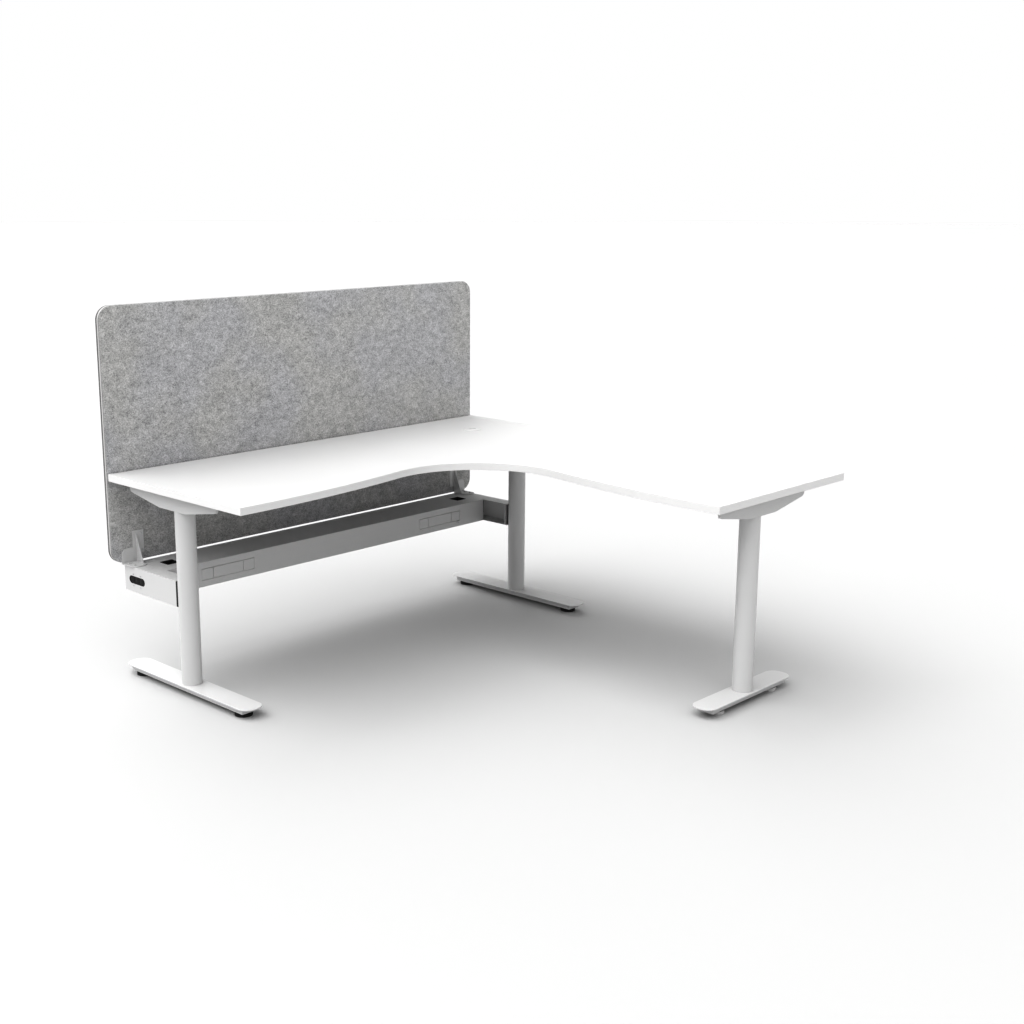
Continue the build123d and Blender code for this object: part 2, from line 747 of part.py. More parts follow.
def saddle():
    """The pad between a beam arm and its column, hollowed to the column."""
    z = around(beam_bottom + beam_height / 2, saddle_height)
    wide = (leg_line - saddle_outer, leg_line + saddle_inner)
    shoulder = back_edge - beam_arm_reach
    pad = block(wide, (column_y, shoulder - seat_gap), z)
    nose = upright(leg_line, column_y, z, column_radius + saddle_thickness - seat_gap)
    pad += nose & block(wide, (column_y, saddle_back), z)
    pad -= upright(leg_line, column_y, past(z), column_radius + thread_gap)
    for height in saddle_bolt_heights():
        pad -= lengthwise(leg_line, (column_y, saddle_back + overrun), height, bolt_radius + hole_gap)
    return pad


def nut_bar():
    """The tapped bar inside a column that the saddle's bolts are screwed into."""
    half = nut_bar_width / 2
    face = column_y + sqrt(column_bore ** 2 - half ** 2) - seat_gap
    z = around(beam_bottom + beam_height / 2, nut_bar_height)
    bar = block(around(leg_line, nut_bar_width), (face - nut_bar_thickness, face), z)
    through = past((face - nut_bar_thickness, face))
    for height in saddle_bolt_heights():
        bar -= lengthwise(leg_line, through, height, bolt_radius + thread_gap)
    return bar


def port_insert():
    """The moulding behind a cable port: a plate with a boss that fills the port, and a slit."""
    inner = arm_face + beam_sheet
    back = (inner, inner + port_plate)
    middle = (back_edge - port_back_inset, beam_bottom + port_rise)
    moulding = block(back, around(middle[0], port_plate_length), around(middle[1], port_plate_height))
    moulding += port_shape(port_length - seat_gap * 2, port_height - seat_gap * 2, (arm_face, inner))
    pocket = (arm_face - overrun, arm_face + port_pocket)
    moulding -= port_shape(port_length - port_rim * 2, port_height - port_rim * 2, pocket)
    slit = past((arm_face, inner))
    moulding -= block(slit, around(middle[0], port_slit_length), around(middle[1], port_slit_height))
    for y, z in port_screw_points():
        moulding -= crosswise(past(back), y, z, tiny_screw_radius + thread_gap)
    return moulding


def build_beam_arms():
    """Both beam arms with their saddles, ports and fasteners."""
    keep_pair("beam_arm_", "left", "corner", beam_arm())
    keep_pair("saddle_", "left", "corner", saddle())
    keep_pair("port_insert_", "left", "corner", port_insert())
    keep_pair("saddle_nut_bars", "", "", nut_bar())
    for z in saddle_bolt_heights():
        head = saddle_back + beam_arm_plate
        length = head - (column_y + column_bore - nut_bar_thickness)
        screw = Pos(leg_line, head, z) * to_front * bolt(bolt_radius, length)
        keep_pair("saddle_bolts", "", "", screw)
    for y, z in port_screw_points():
        screw = Pos(arm_face, y, z) * to_right * bolt(tiny_screw_radius, beam_sheet + port_plate)
        keep_pair("port_screws", "", "", screw)


# Screen and its brackets

def screen_layer(front, thickness):
    """One layer of the screen, with rounded corners."""
    outline = RectangleRounded(top_length, screen_height, screen_radius)
    layer = extrude(Plane.XZ * outline, amount=-thickness)
    return Pos(0, front, screen_bottom + screen_height / 2) * layer


def bracket_screw_points():
    """The two screws of the left bracket in the screen, by their places along X and Z."""
    x = leg_line + post_plate_inner - bracket_screw_inset
    return [
        (x, beam_top + post_plate_foot + bracket_screw_margins[0]),
        (x, beam_top + post_plate_top - bracket_screw_margins[1]),
    ]


def build_screen():
    """Two felt layers on a board, with holes for the bracket screws."""
    board_face = screen_face + front_felt
    layers = {
        "screen_front_felt": screen_layer(screen_face, front_felt),
        "screen_board": screen_layer(board_face, screen_board),
    }
    keep("screen_back_felt", screen_layer(board_face + screen_board, back_felt))
    for name, layer in layers.items():
        for x, z in bracket_screw_points():
            span = (screen_face - overrun, screen_face + screen_screw_depth + seat_gap)
            hole = lengthwise(x, span, z, screw_radius + thread_gap)
            layer -= hole + mirror(hole, about=Plane.YZ)
        keep(name, layer)
    for x, z in bracket_screw_points():
        screw = Pos(x, screen_face - bracket_sheet, z) * to_back
        screw *= bolt(screw_radius, bracket_sheet + screen_screw_depth)
        keep_pair("bracket_screws", "", "", screw)


def screen_bracket():
    """The left bracket: a base plate on the beam arm, a gusset, and plates against the screen."""
    back = (screen_face - bracket_sheet, screen_face)
    inner = leg_line + bracket_inner
    depth = (screen_face - bracket_reach, screen_face)
    base = block((leg_line - bracket_outer, inner), depth, (beam_top, beam_top + bracket_sheet))
    base = fillet(base.edges().filter_by(Axis.Z).group_by(Axis.Y)[0], bracket_corner_radius)
    side = [(back[0], beam_top), (back[0] - bracket_toe, beam_top), (back[0], beam_top + bracket_height)]
    gusset = Plane.YZ * make_face(Polyline(*side, close=True))
    gusset = Pos(inner - bracket_sheet, 0, 0) * extrude(gusset, amount=bracket_sheet)
    low = block((leg_line - wing_plate_outer, inner), back, (beam_top, beam_top + wing_plate_height))
    outer_top = low.edges().filter_by(Axis.Y).sort_by(Axis.X)[:2].sort_by(Axis.Z)[-1]
    low = fillet(outer_top, wing_plate_radius)
    post = (leg_line + post_plate_inner - post_plate_width, leg_line + post_plate_inner)
    tall = block(post, back, (beam_top + post_plate_foot, beam_top + post_plate_top))
    bracket = base + gusset + low + tall
    for x, z in bracket_screw_points():
        bracket -= lengthwise(x, past(back), z, screw_radius + hole_gap)
    for x, y in bracket_bolt_points():
        bracket -= upright(x, y, past((beam_top, beam_top + bracket_sheet)), small_bolt_radius + hole_gap)
    return bracket


def build_brackets():
    """Both screen brackets with their bolts and nuts."""
    keep_pair("screen_bracket_", "left", "corner", screen_bracket())
    grip = bracket_sheet + beam_sheet
    length = grip + small_bolt_radius * nut_height_share + bolt_tail
    for x, y in bracket_bolt_points():
        place = Pos(x, y, beam_top + bracket_sheet)
        keep_pair("bracket_bolts", "", "", place * bolt(small_bolt_radius, length))
        keep_pair("bracket_nuts", "", "", place * Pos(0, 0, -grip) * up * nut(small_bolt_radius))


def legs():
    """Each leg's placing, foot length, glide inset, side of its rail, and whether it holds the beam."""
    wing = Pos(wing_column_x, wing_column_y) * Rot(0, 0, -quarter_turn)
    return {
        "left": (Pos(leg_line, column_y), long_foot, long_glide_inset, 1, True),
        "corner": (Pos(-leg_line, column_y), long_foot, long_glide_inset, -1, True),
        "wing": (wing, short_foot, short_glide_inset, -1, False),
    }


screw_places = []
for name, leg in legs().items():
    build_leg(name, *leg)
    for x, y in arm_screw_points(leg[3]):
        point = (leg[0] * Pos(x, y)).position
        screw_places.append((point.X, point.Y))
build_worktop(screw_places)
build_grommet()
build_rails()
build_beam()
build_beam_arms()
build_screen()
build_brackets()

os.makedirs("parts", exist_ok=True)
for name, solids in nodes.items():
    shape = solids[0] if len(solids) == 1 else Compound(children=solids)
    export_step(shape, "parts/" + name + ".step")
print(len(nodes), "nodes")
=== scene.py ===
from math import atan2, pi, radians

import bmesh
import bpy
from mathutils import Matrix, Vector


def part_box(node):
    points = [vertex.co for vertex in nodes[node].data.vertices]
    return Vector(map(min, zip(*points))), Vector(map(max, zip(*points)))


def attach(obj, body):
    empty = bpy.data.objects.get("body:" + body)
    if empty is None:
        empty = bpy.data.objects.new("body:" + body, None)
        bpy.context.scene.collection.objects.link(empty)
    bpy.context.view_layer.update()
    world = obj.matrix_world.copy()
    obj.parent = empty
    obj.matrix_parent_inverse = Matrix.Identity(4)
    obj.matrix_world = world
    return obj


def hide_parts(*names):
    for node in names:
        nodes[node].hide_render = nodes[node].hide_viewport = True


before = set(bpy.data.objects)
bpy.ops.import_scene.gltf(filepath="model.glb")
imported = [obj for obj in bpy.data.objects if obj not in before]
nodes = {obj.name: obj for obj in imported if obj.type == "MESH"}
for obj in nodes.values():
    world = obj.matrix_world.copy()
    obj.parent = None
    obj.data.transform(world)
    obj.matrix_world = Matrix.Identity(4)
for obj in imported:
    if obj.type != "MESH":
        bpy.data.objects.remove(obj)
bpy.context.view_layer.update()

# %% [markdown]
# This lesson dresses a corner workstation. The frame that was just loaded holds every solid
# part at its real place, in metres: +X runs along the screen towards the corner leg, +Y from
# the user to the screen, +Z up, and the floor is z = 0.

print("parts in the frame:", len(nodes))

# %% [markdown]
# The camera comes first, because every later choice is judged through it. The photograph was
# taken from the user's side, left of the desk and a little above the worktop, with a long
# lens and a level camera. The frame's sizes and the picture's straight edges together give
# where it stood, so here it only has to be placed and turned.

# %% The camera
camera_place = Vector((-3.4859, -3.3563, 1.7111))
camera_heading = radians(44.442)  # from +X towards +Y
camera_dip = radians(13.048)
picture_size = 1024
focal_pixels = 1424.1
principal_pixels = (461.1, 512.5)

lens = bpy.data.cameras.new("photograph")
lens.sensor_width = 36.0
lens.lens = lens.sensor_width * focal_pixels / picture_size
lens.shift_x = 0.5 - principal_pixels[0] / picture_size
lens.shift_y = principal_pixels[1] / picture_size - 0.5
camera = bpy.data.objects.new("photograph", lens)
camera.location = camera_place
camera.rotation_euler = (pi / 2 - camera_dip, 0, camera_heading - pi / 2)
bpy.context.scene.collection.objects.link(camera)
bpy.context.scene.camera = camera
print("lens:", round(lens.lens, 2), "mm, shift:", round(lens.shift_x, 4))

# %% [markdown]
# The photograph's light is that of a white studio: an even glow from the whole sky, a broad
# lamp high on the left that whitens the top and the faces turned to it, another behind the
# screen, which leaves the soft shadow in front of the felt, and a weak one by the camera. Very
# wide suns don't fall off with distance, so the open floor stays evenly white. The strengths
# are those at which the tones of some forty places, from the open floor to the felt below the
# top, come nearest to the picture's. Its shadows are deeper than plain light gives, so the
# view has a little more contrast too.

# %% The studio's light
view = bpy.context.scene.view_settings
view.view_transform = "Standard"
added_contrast = 1.5
view.gamma = 1 / added_contrast
sky_strength = 0.60
backdrop_strength = 1.0
lamp_angle = radians(70)

world = bpy.data.worlds.new("white studio")
world.use_nodes = True
bpy.context.scene.world = world
sky = world.node_tree.nodes["Background"]
sky.inputs["Color"].default_value = (1, 1, 1, 1)
sky.inputs["Strength"].default_value = sky_strength
backdrop = world.node_tree.nodes.new("ShaderNodeBackground")
backdrop.inputs["Color"].default_value = (1, 1, 1, 1)
backdrop.inputs["Strength"].default_value = backdrop_strength
seen = world.node_tree.nodes.new("ShaderNodeLightPath")
either = world.node_tree.nodes.new("ShaderNodeMixShader")
join = world.node_tree.links.new
join(seen.outputs["Is Camera Ray"], either.inputs["Fac"])
join(sky.outputs["Background"], either.inputs[1])
join(backdrop.outputs["Background"], either.inputs[2])
join(either.outputs["Shader"], world.node_tree.nodes["World Output"].inputs["Surface"])

lamps = {
    "lamp on the left": (3.1, (-1.0, 0.0, 1.73)),
    "lamp behind the screen": (2.07, (0.0, 1.0, 0.80)),
    "lamp by the camera": (0.60, (0.0, -1.0, 0.80)),
}
for name, (energy, towards) in lamps.items():
    lamp = bpy.data.lights.new(name, "SUN")
    lamp.energy = energy
    lamp.angle = lamp_angle
    holder = bpy.data.objects.new(name, lamp)
    holder.rotation_euler = Vector(towards).to_track_quat("Z", "Y").to_euler()
    bpy.context.scene.collection.objects.link(holder)
print("sky:", sky_strength, "lamps:", len(lamps))

# %% [markdown]
# A finish is a small network of nodes. Written out link by link it is hard to read, so one
# class wraps a socket and lets sums be written as sums: `grain * 0.3 + 0.5` adds its two Math
# nodes by itself. Every other node is made by one method that takes its type, its settings
# and the values of its sockets. Sheet metal and edge band never have razor edges, so the
# relief can start from a Bevel node, which turns the shading round over a small radius and
# catches a thin line of light along an edge, without any change to the part's mesh.

# %% Shader sums
edge_samples = 4


class Level:
    """A socket of a finish that sums and products can be written with."""

    def __init__(self, finish, socket):
        self.finish = finish
        self.socket = socket

    def sum_node(self, operation, first, second):
        return self.finish.node("ShaderNodeMath", {"operation": operation}, {0: first, 1: second})

    def __add__(self, other):
        return self.sum_node("ADD", self, other)

    def __radd__(self, other):
        return self.sum_node("ADD", other, self)

    def __sub__(self, other):
        return self.sum_node("SUBTRACT", self, other)

    def __rsub__(self, other):
        return self.sum_node("SUBTRACT", other, self)

    def __mul__(self, other):
        return self.sum_node("MULTIPLY", self, other)

    def __rmul__(self, other):
        return self.sum_node("MULTIPLY", other, self)

    def __gt__(self, other):
        return self.sum_node("GREATER_THAN", self, other)


class Finish:
    """One material: its nodes, its Principled shader and the coordinates that it is drawn on."""

    def __init__(self, name, roughness, **settings):
        self.material = bpy.data.materials.new(name)
        self.material.use_nodes = True
        self.tree = self.material.node_tree
        self.shader = self.tree.nodes["Principled BSDF"]
        self.shader.inputs["Roughness"].default_value = roughness
        for socket, value in settings.items():
            self.shader.inputs[socket.replace("_", " ")].default_value = value
        self.place = self.node("ShaderNodeTexCoord", {}, {}, "Object")

    def node(self, kind, settings, values, output=0):
        made = self.tree.nodes.new(kind)
        for name, value in settings.items():
            if name == "stops":
                for stop, (position, level) in zip(made.color_ramp.elements, value):
                    stop.position = position
                    stop.color = (level, level, level, 1)
            else:
                setattr(made, name, value)
        for name, value in values.items():
            if isinstance(value, Level):
                self.tree.links.new(value.socket, made.inputs[name])
            else:
                made.inputs[name].default_value = value
        return Level(self, made.outputs[output])

    def noise(self, scale, detail=2.0, roughness=0.5, place=None, distortion=0.0):
        values = {"Vector": place or self.place, "Scale": scale, "Detail": detail}
        values.update({"Roughness": roughness, "Distortion": distortion})
        return self.node("ShaderNodeTexNoise", {}, values)

    def stretched(self, factors):
        """The coordinates with each axis packed closer by its factor."""
        settings = {"vector_type": "POINT"}
        return self.node("ShaderNodeMapping", settings, {"Vector": self.place, "Scale": factors})

    def spread(self, level, low, high):
        """The level's part between low and high, stretched to run from 0 to 1."""
        return self.node("ShaderNodeMapRange", {}, {"Value": level, "From Min": low, "From Max": high})

    def blend(self, share, first, second):
        values = {0: share, 6: first, 7: second}
        return self.node("ShaderNodeMix", {"data_type": "RGBA"}, values, 2)

    def feed(self, socket, level):
        self.tree.links.new(level.socket, self.shader.inputs[socket])

    def relief(self, height, depth, strength=1.0, edge=0.0):
        """Small bumps as deep as depth, on edges that look rounded by the radius edge."""
        values = {"Height": height, "Distance": depth, "Strength": strength}
        if edge:
            samples = {"samples": edge_samples}
            values["Normal"] = self.node("ShaderNodeBevel", samples, {"Radius": edge})
        self.feed("Normal", self.node("ShaderNodeBump", {}, values))


def grey(level, tint=0.0):
    """A grey colour, warmer by the tint."""
    return (level * (1 + tint), level, level * (1 - tint), 1)


print("finishes are drawn on Object coordinates")

# %% [markdown]
# The worktop is melamine-faced board: a printed white paper pressed against a plate with a
# very fine pearl texture. From a metre away it is flat white; near by, the light breaks on
# shallow bumps about a millimetre across. Noise gives the bumps, and a broad, faint noise
# keeps the white and its gloss from being the same everywhere.

# %% White melamine and its edge band
pearl_scale = 900.0  # waves of the noise in a metre
pearl_depth = 0.00006
board_edge = 0.0008
melamine = Finish("pearl white melamine", 0.42)
pearl = melamine.noise(pearl_scale, 2.0)
cloud = melamine.noise(3.0, 3.0)
melamine.feed("Base Color", melamine.blend(cloud, grey(0.595, 0.003), grey(0.615, 0.001)))
melamine.feed("Roughness", pearl * 0.10 + cloud * 0.06 + 0.34)
melamine.relief(pearl, pearl_depth, edge=board_edge)

line_depth = 0.00004
band_edge = 0.0015
edging = Finish("matt white edging", 0.5)
along = edging.stretched((2.0, 2.0, 900.0))
lines = edging.noise(1.0, 3.0, 0.6, along)
tone = edging.noise(12.0, 2.0)
# the edging's white is set lighter than the top's: partly its own white, partly painted light that
# brightens the worktop's side faces
edging.feed("Base Color", edging.blend(tone, grey(0.685, 0.004), grey(0.705, 0.002)))
edging.feed("Roughness", lines * 0.12 + 0.42)
edging.relief(lines, line_depth, edge=band_edge)
print("board finishes:", melamine.material.name, "/", edging.material.name)

# %% [markdown]
# The steel is powder coated. The powder melts and draws together into a skin with a shallow
# orange peel: soft waves one to three millimetres long, with a satin shine. The waves hardly
# change the colour, so they go into the relief and the roughness.

# %% White powder coat
peel_scale = 520.0
speck_scale = 2600.0
peel_depth = 0.00009
sheet_edge = 0.0012
coat = Finish("satin white powder coat", 0.34)
peel = coat.noise(peel_scale, 2.0, 0.45)
speck = coat.noise(speck_scale, 1.0)
drift = coat.noise(4.0, 2.0)
coat.feed("Base Color", coat.blend(drift, grey(0.575, 0.002), grey(0.60, 0.0)))
coat.feed("Roughness", peel * 0.14 + drift * 0.05 + 0.26)
coat.relief(peel * 0.8 + speck * 0.2, peel_depth, edge=sheet_edge)

# %% [markdown]
# Moulded plastic takes a fine spark-eroded grain from its mould, which is why it looks matt.
# The same grain serves the white grommet, the pale glides and the black fittings; only the
# colour and the gloss differ. Rubber is duller, and dust settles on it near the floor.

# %% Moulded plastics and rubber
mould_grain_scale = 1500.0
mould_grain_depth = 0.00008
moulded_edge = 0.0006


def moulded(name, dark, light, roughness):
    """A plastic with mould grain, between two colours."""
    plastic = Finish(name, roughness)
    grain = plastic.noise(mould_grain_scale, 3.0, 0.6)
    flow = plastic.noise(25.0, 2.0)
    plastic.feed("Base Color", plastic.blend(grain * 0.5 + flow * 0.5, dark, light))
    plastic.feed("Roughness", grain * 0.18 + (roughness - 0.09))
    plastic.relief(grain, mould_grain_depth, edge=moulded_edge)
    return plastic


white_plastic = moulded("white moulded plastic", grey(0.60, 0.004), grey(0.65, 0.002), 0.42)
pale_plastic = moulded("pale moulded plastic", grey(0.54, 0.006), grey(0.60, 0.004), 0.45)
black_plastic = moulded("black moulded plastic", grey(0.008), grey(0.022), 0.5)
for plastic in (white_plastic, pale_plastic, black_plastic):
    print("plastic:", plastic.material.name)

dusty_below = 0.008
dustiest_at = 0.001
crumb_depth = 0.00012
rubber = Finish("black rubber", 0.7)
crumb = rubber.noise(1100.0, 4.0, 0.65)
height = rubber.node("ShaderNodeSeparateXYZ", {}, {"Vector": rubber.place}, "Z")
dust = rubber.spread(height + crumb * 0.004, dusty_below, dustiest_at)
rubber.feed("Base Color", rubber.blend(dust * 0.35, grey(0.012), grey(0.10, 0.03)))
rubber.feed("Roughness", crumb * 0.15 + 0.62)
rubber.relief(crumb, crumb_depth)

# %% [markdown]
# Screws, bolts and stems are zinc plated: a pale, slightly blue metal whose drawn wire leaves
# fine streaks, with cloudy patches where the bath took differently.

# %% Zinc-plated steel
streak_depth = 0.00003
zinc = Finish("zinc-plated steel", 0.35, Metallic=1.0)
streak = zinc.noise(1.0, 3.0, 0.6, zinc.stretched((500.0, 500.0, 60.0)))
patch = zinc.noise(90.0, 3.0)
zinc.feed("Base Color", zinc.blend(patch, (0.52, 0.53, 0.55, 1), (0.70, 0.70, 0.70, 1)))
zinc.feed("Roughness", streak * 0.20 + patch * 0.12 + 0.20)
zinc.relief(streak, streak_depth)

# %% [markdown]
# The screen is faced with needled felt made of recycled fibres of several greys. Five things
# make it read as felt in the photograph: a grain of tufts a few millimetres wide, finer fibres
# that lie level or upright, small dark flecks and blotches a centimetre or two across, soft
# clouds as wide as a hand, and still wider, faint drifts from warm to cool grey. Each is a
# layer of noise on its own scale. Where the felt is cut, at its rim, the colour is painted
# darker as painted shade, most of all on the thick back layer. A little sheen stands for the
# loose fibre ends that catch the light.

# %% Needled felt
board_low, board_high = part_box("screen_board")
board_middle = (board_low.y + board_high.y) / 2
nap_depth = 0.0007
felt = Finish("mottled grey felt", 0.95, Sheen_Weight=0.25, Sheen_Roughness=0.6)
felt.shader.inputs["Specular IOR Level"].default_value = 0.2
tufts = felt.noise(1.0, 1.0, 0.5, felt.stretched((250.0, 250.0, 290.0)), 0.6)
fibres = felt.noise(1.0, 3.0, 0.7, felt.stretched((170.0, 170.0, 420.0)), 1.2)
cross_fibres = felt.noise(1.0, 3.0, 0.7, felt.stretched((460.0, 460.0, 190.0)), 1.5)
blotches = felt.noise(1.0, 4.0, 0.62, felt.stretched((34.0, 34.0, 46.0)), 0.6)
flecks = felt.noise(1.0, 2.0, 0.6, felt.stretched((95.0, 95.0, 150.0)), 1.0)
flecks = felt.spread(flecks, 0.60, 0.72)
clouds = felt.noise(9.0, 2.0)
drifts = felt.noise(3.2, 2.0)
mottle = tufts * 0.42 + fibres * 0.18 + cross_fibres * 0.12 + blotches * 0.28
mottle = felt.spread(mottle, 0.37, 0.63) - flecks * 0.30 + (clouds - 0.5) * 0.14
warm = felt.blend(mottle, (0.2615, 0.2600, 0.2570, 1), (0.6400, 0.6365, 0.6290, 1))
cool = felt.blend(mottle, (0.2560, 0.2560, 0.2620, 1), (0.6240, 0.6240, 0.6380, 1))
face_colour = felt.blend(felt.spread(drifts, 0.4, 0.6), warm, cool)
# painted shade: the cut rim, picked by its normal, is coloured darker than the face, darkest on the
# back layer
facing = felt.node("ShaderNodeNewGeometry", {}, {}, "True Normal")
facing = felt.node("ShaderNodeSeparateXYZ", {}, {"Vector": facing}, "Y")
rim = 1 - felt.spread(facing * facing, 0.1, 0.5)
depth = felt.node("ShaderNodeSeparateXYZ", {}, {"Vector": felt.place}, "Y")
back_layer = depth > board_middle
rim_shade_dark = felt.blend(back_layer, grey(0.19), grey(0.08))
rim_shade_light = felt.blend(back_layer, grey(0.36), grey(0.18))
cut = felt.blend(mottle, rim_shade_dark, rim_shade_light)
felt.feed("Base Color", felt.blend(rim, face_colour, cut))
felt.relief(tufts * 0.4 + fibres * 0.4 + cross_fibres * 0.2, nap_depth, 0.8)

pulp_depth = 0.00008
core = Finish("off-white board", 0.6)
pulp = core.noise(1.0, 3.0, 0.6, core.stretched((300.0, 900.0, 300.0)))
core.feed("Base Color", core.blend(pulp, grey(0.50, 0.01), grey(0.56, 0.006)))
core.feed("Roughness", pulp * 0.15 + 0.55)
core.relief(pulp, pulp_depth)

# %% [markdown]
# Each part of the frame already names the kind of finish it takes. A table turns that name
# into the finish, and every part gets it in its one material slot. The bolts that hold down
# the screen's brackets are the exception: they are coated white like the brackets.

# %% Finishes onto the frame's parts
finishes = {
    "white_melamine": melamine,
    "white_edging": edging,
    "white_powder_coat": coat,
    "white_plastic": white_plastic,
    "pale_plastic": pale_plastic,
    "black_plastic": black_plastic,
    "black_rubber": rubber,
    "zinc_steel": zinc,
    "grey_felt": felt,
    "white_board": core,
}
for name, part in nodes.items():
    slot = part.material_slots[0]
    slot.material = finishes[slot.material.name].material
nodes["bracket_bolts"].material_slots[0].material = coat.material
print("parts with a finish:", len(nodes), "finishes:", len(finishes))

# %% [markdown]
# New pieces are modelled the way one works by hand: a primitive is added at its size and
# place, then edges and faces are picked and shaped in edit mode. Operators act on all that is
# selected, so each step starts with nothing selected, and what is wanted is picked in code by
# its place or its normal.

# %% Picking and shaping
merge_distance = 0.000001
touching = 0.0001
straight = 0.999


def clear_selection():
    if bpy.context.object and bpy.context.object.mode != "OBJECT":
        bpy.ops.object.mode_set(mode="OBJECT")
    bpy.ops.object.select_all(action="DESELECT")


def slab(name, low, high):
    """A cube primitive that fills the box between two corners, with its place in its mesh."""
    clear_selection()
    bpy.ops.mesh.primitive_cube_add(size=1, location=(low + high) / 2, scale=high - low)
    bpy.ops.object.transform_apply(location=True, rotation=True, scale=True)
    bpy.context.object.name = name
    return bpy.context.object


def pick(piece, kind, wanted):
    """Goes into edit mode and selects the edges or faces for which wanted says yes."""
    if piece.mode != "EDIT":
        bpy.ops.object.mode_set(mode="EDIT")
    bpy.ops.mesh.select_mode(type=kind)
    bpy.ops.mesh.select_all(action="DESELECT")
    mesh = bmesh.from_edit_mesh(piece.data)
    for element in (mesh.edges if kind == "EDGE" else mesh.faces):
        if wanted(element):
            element.select_set(True)
    bmesh.update_edit_mesh(piece.data)


def runs_along(edge, axis):
    """Whether an edge runs along X, Y or Z, given as 0, 1 or 2."""
    run = (edge.verts[1].co - edge.verts[0].co).normalized()
    return abs(run[axis]) > straight


def even_normals():
    """Merges doubles, turns all faces of the active piece outwards and leaves edit mode."""
    bpy.ops.object.mode_set(mode="EDIT")
    bpy.ops.mesh.select_all(action="SELECT")
    bpy.ops.mesh.remove_doubles(threshold=merge_distance)
    bpy.ops.mesh.normals_make_consistent(inside=False)
    bpy.ops.object.mode_set(mode="OBJECT")


def thicken(piece, thickness):
    """Makes a wall of an open surface, half to each side of it, with soft edges."""
    even_normals()
    wall = piece.modifiers.new("wall", "SOLIDIFY")
    wall.thickness = thickness
    wall.offset = 0
    wall.use_even_offset = True
    bpy.ops.object.modifier_apply(modifier="wall")
    soft = piece.modifiers.new("soft edges", "BEVEL")
    soft.width = thickness / 4
    soft.segments = 2
    soft.limit_method = "ANGLE"
    bpy.ops.object.modifier_apply(modifier="soft edges")


def finish_piece(piece, finish, angle=30):
    """Evens the normals, smooths the shading, and gives the piece its finish and its body."""
    even_normals()
    bpy.ops.object.shade_smooth_by_angle(angle=radians(angle))
    piece.data.materials.clear()
    piece.data.materials.append(finish.material)
    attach(piece, "desk")
    print(piece.name, "faces:", len(piece.data.polygons))


def twin(piece, name, shift=(0, 0, 0), turned_about=None):
    """A copy with its own mesh, turned half round an upright line if one is given, and moved."""
    clear_selection()
    piece.select_set(True)
    bpy.context.view_layer.objects.active = piece
    bpy.ops.object.duplicate()
    copy = bpy.context.object
    copy.name = name
    bpy.ops.object.mode_set(mode="EDIT")
    bpy.ops.mesh.select_all(action="SELECT")
    if turned_about:
        bpy.ops.transform.rotate(value=pi, orient_axis="Z", center_override=turned_about)
    bpy.ops.transform.translate(value=shift)
    bpy.ops.object.mode_set(mode="OBJECT")
    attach(copy, "desk")
    print(name, "is a copy of", piece.name)
    return copy


clear_selection()

# %% [markdown]
# The two felt layers are cut from sheet with a knife, so their corners are round in the front
# view and their faces meet the cut at a soft, slightly pressed rim. Each slab starts as a
# cube of the layer's size. Its four upright corners are rounded with one wide bevel, and
# then only the rim of its outer face gets a small one, because the other face lies against
# the board.

# %% The felt layers of the screen
screen_radius = 0.050
screen_corner_steps = 24
front_rim = 0.0020
back_rim = 0.0030
rim_steps = 4


def felt_layer(node, name, outer_side, rim_radius):
    """A felt layer in place of its plain solid, soft along the rim of its outer face."""
    low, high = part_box(node)
    layer = slab(name, low, high)
    pick(layer, "EDGE", lambda edge: runs_along(edge, 1))
    bpy.ops.mesh.bevel(offset=screen_radius, segments=screen_corner_steps, affect="EDGES")
    outer = high.y if outer_side > 0 else low.y
    pick(layer, "EDGE", lambda edge: all(abs(v.co.y - outer) < touching for v in edge.verts))
    bpy.ops.mesh.bevel(offset=rim_radius, segments=rim_steps, affect="EDGES")
    finish_piece(layer, felt)
    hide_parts(node)


felt_layer("screen_front_felt", "front_felt_layer", -1, front_rim)
felt_layer("screen_back_felt", "back_felt_layer", 1, back_rim)

# %% [markdown]
# The two square cut-outs in the beam's top are lined with black edge guards, so that the
# sheet can't cut a cable: a thin flange lies on the sheet, and a collar hangs down inside.
# From the user's place nothing but black is seen in them. The guard starts as a plane of the
# flange's size. Its corners are rounded, an inset makes the opening, the opening's rim is
# extruded down as the collar, and the whole gets the thickness of its wall.

# %% Edge guards in the beam's cut-outs
cutout_size = 0.045
cutout_middle = Vector((-0.7265, 0.796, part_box("cable_beam")[1].z))
guard_wall = 0.0009
guard_gap = 0.0001
guard_flange = 0.0030
guard_corner = 0.0030
guard_corner_steps = 4
guard_depth = 0.020
mirror_line = (0, cutout_middle.y, 0)
on_sheet = cutout_middle + Vector((0, 0, guard_wall / 2))

clear_selection()
bpy.ops.mesh.primitive_plane_add(size=cutout_size + guard_flange * 2, location=on_sheet)
bpy.ops.object.transform_apply(location=True, rotation=True, scale=True)
left_guard = bpy.context.object
left_guard.name = "cutout_guard_left"
bpy.ops.object.mode_set(mode="EDIT")
bpy.ops.mesh.select_all(action="SELECT")
bpy.ops.mesh.bevel(offset=guard_corner, segments=guard_corner_steps, affect="VERTICES")
bpy.ops.mesh.select_mode(type="FACE")
bpy.ops.mesh.select_all(action="SELECT")
bpy.ops.mesh.inset(thickness=guard_flange + guard_gap + guard_wall / 2, use_even_offset=True)
bpy.ops.mesh.delete(type="FACE")
opening = cutout_size / 2 - guard_gap - guard_wall / 4


def on_opening(edge):
    outs = [vert.co - on_sheet for vert in edge.verts]
    return all(max(abs(out.x), abs(out.y)) < opening for out in outs)


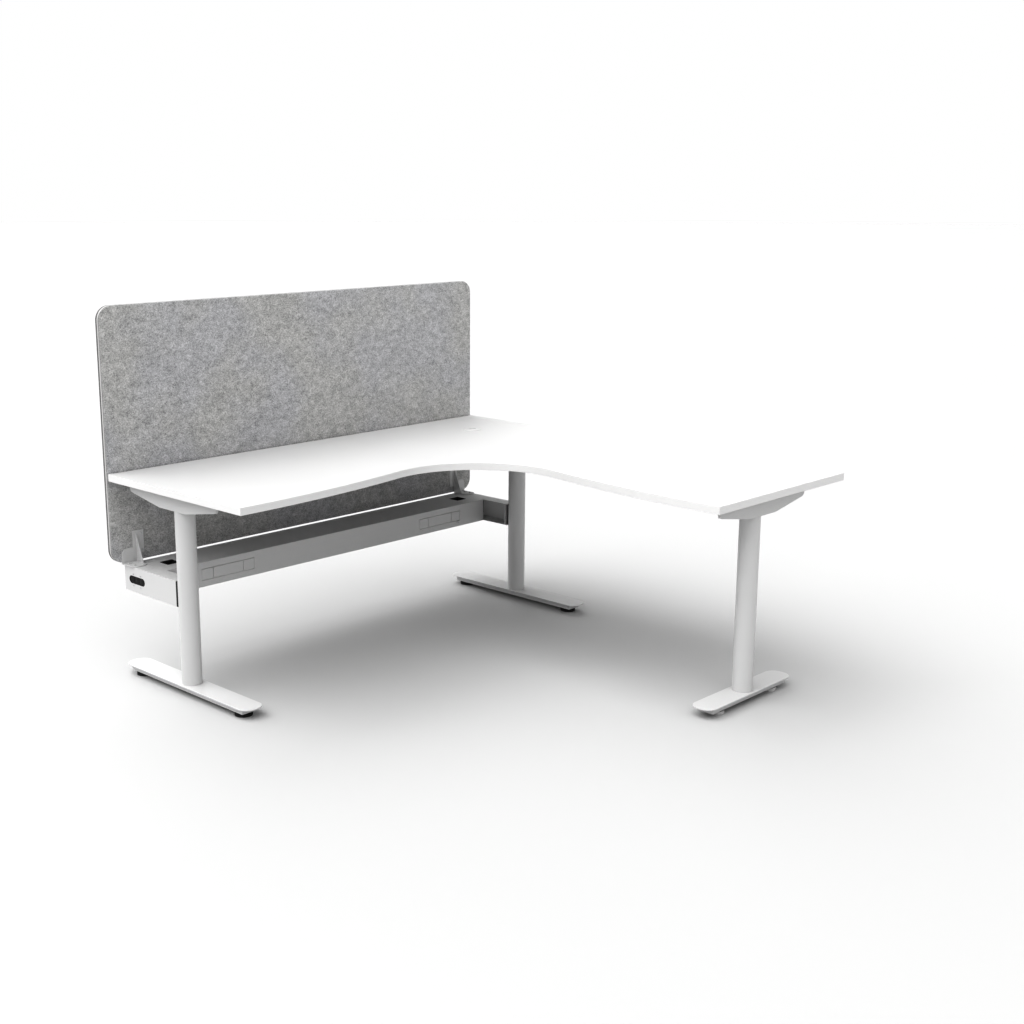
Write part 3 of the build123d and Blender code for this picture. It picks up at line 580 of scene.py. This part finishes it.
pick(left_guard, "EDGE", on_opening)
bpy.ops.mesh.extrude_region_move(TRANSFORM_OT_translate={"value": (0, 0, -guard_depth)})
thicken(left_guard, guard_wall)
finish_piece(left_guard, black_plastic)
twin(left_guard, "cutout_guard_right", turned_about=mirror_line)

# %% [markdown]
# Each of the two cable ports in the webs is closed by three round lips, cut into petals like
# a star so that a cable can be pushed through. A lip starts as a filled circle on the port's
# floor. Four insets make rings, of which all but the outer one rise a little towards the
# middle; the innermost face goes, and so does one face in twelve in each rising ring. The
# first lip is copied along its port, and the three are turned over to the other web.

# %% Star-cut lips in the cable ports
port_low, port_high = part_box("port_insert_left")
port_floor = -0.852
lip_radius = 0.0115
lip_spacing = 0.029
lip_wall = 0.0008
lip_steps = 72
petals = 6
lip_rim = 0.0015
rising_rings = 3
lip_ring = 0.0030
ring_rise = 0.0004
port_middle = (port_low + port_high) / 2
lip_middle = Vector((port_floor - lip_wall / 2, port_middle.y, port_middle.z))

clear_selection()
facing_out = (0, -pi / 2, 0)
bpy.ops.mesh.primitive_circle_add(
    vertices=lip_steps, radius=lip_radius, fill_type="NGON", location=lip_middle, rotation=facing_out
)
bpy.ops.object.transform_apply(location=True, rotation=True, scale=True)
lip = bpy.context.object
lip.name = "port_lip_left_middle"
bpy.ops.object.mode_set(mode="EDIT")
bpy.ops.mesh.select_mode(type="FACE")
bpy.ops.mesh.select_all(action="SELECT")
bpy.ops.mesh.inset(thickness=lip_rim)
for ring in range(rising_rings):
    bpy.ops.mesh.inset(thickness=lip_ring)
    bpy.ops.transform.translate(value=(-ring_rise, 0, 0))
bpy.ops.mesh.delete(type="FACE")


def in_slit(face):
    out = face.calc_center_median() - lip_middle
    past_petal = atan2(out.z, out.y) % (2 * pi / petals)
    return out.length < lip_radius - lip_rim and past_petal < 2 * pi / lip_steps


pick(lip, "FACE", in_slit)
bpy.ops.mesh.delete(type="FACE")
thicken(lip, lip_wall)
finish_piece(lip, black_plastic)
left_lips = [lip]
for side, along in (("front", -lip_spacing), ("back", lip_spacing)):
    name = "port_lip_left_" + side
    left_lips.append(twin(lip, name, shift=(0, along, 0)))
for left_lip in left_lips:
    name = left_lip.name.replace("left", "corner")
    twin(left_lip, name, turned_about=(0, port_middle.y, 0))

# %% [markdown]
# The floor is a plain pale sheet, far larger than the picture shows, so that it runs out of
# sight in an even white. It is staging and not part of the desk.

# %% The floor
floor_radius = 60.0
floor_sides = 96
floor_finish = Finish("pale studio floor", 0.8)
floor_tone = floor_finish.noise(0.8, 2.0)
floor_finish.feed("Base Color", floor_finish.blend(floor_tone, grey(0.497), grey(0.503)))

clear_selection()
bpy.ops.mesh.primitive_circle_add(vertices=floor_sides, radius=floor_radius, fill_type="NGON")
floor = bpy.context.object
floor.name = "studio_floor"
floor.data.materials.append(floor_finish.material)
print("floor:", floor_radius, "m to its edge")
